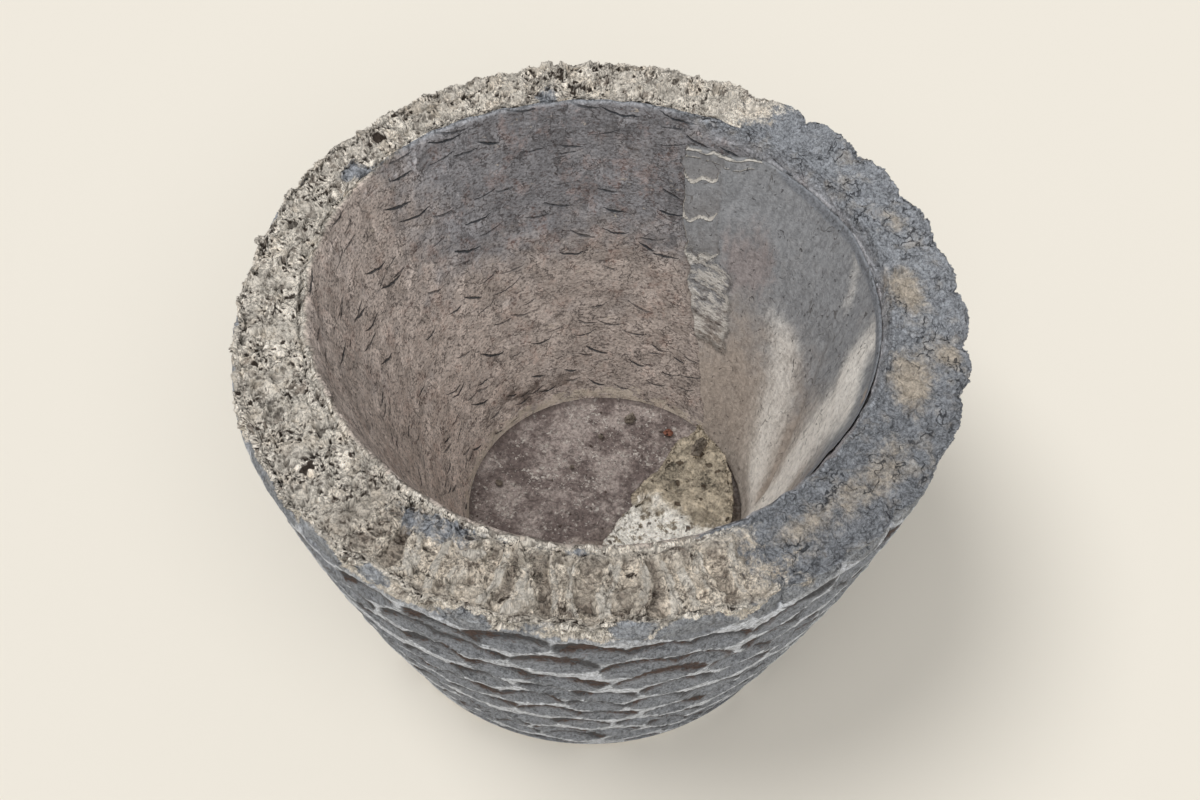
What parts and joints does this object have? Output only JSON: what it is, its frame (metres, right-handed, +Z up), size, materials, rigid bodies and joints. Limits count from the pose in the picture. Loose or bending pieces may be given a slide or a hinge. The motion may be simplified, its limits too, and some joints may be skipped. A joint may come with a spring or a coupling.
{
  "type": "stone planter",
  "caption": "Round hand-hewn stone planter: a tapered vessel with a thick uneven rim, a drained hollow, part of it lined with lime, a soil bed and loose stones.",
  "frame": {"origin": "middle of the foot on the ground, on the axis of the drain hole", "axes": "+Z up through the mouth; +Y towards the back of the picture and +X to its right, the side with the lime lining"},
  "size_m": [0.6066, 0.6119, 0.387],
  "materials": {
    "stone_body": "matte",
    "lime_lining": "matte",
    "drain_crock": "matte",
    "drainage_gravel": "matte",
    "soil_bed": "matte",
    "loose_chips": "matte",
    "pale_stone": "matte",
    "stone_fragment": "matte"
  },
  "bodies": {
    "planter": {"stone_body": "stone_body", "lime_lining": "lime_lining", "drain_crock": "drain_crock", "drainage_gravel": "drainage_gravel", "soil_bed": "soil_bed", "loose_chips": "loose_chips"},
    "loose_stone": {"pale_stone": "pale_stone", "stone_fragment": "stone_fragment"}
  },
  "joints": [
    {"name": "pale_stone_lift", "type": "slide", "parent": "planter", "child": "loose_stone", "axis": [0, 0, 1], "range_m": [0, 0.36]}
  ]
}
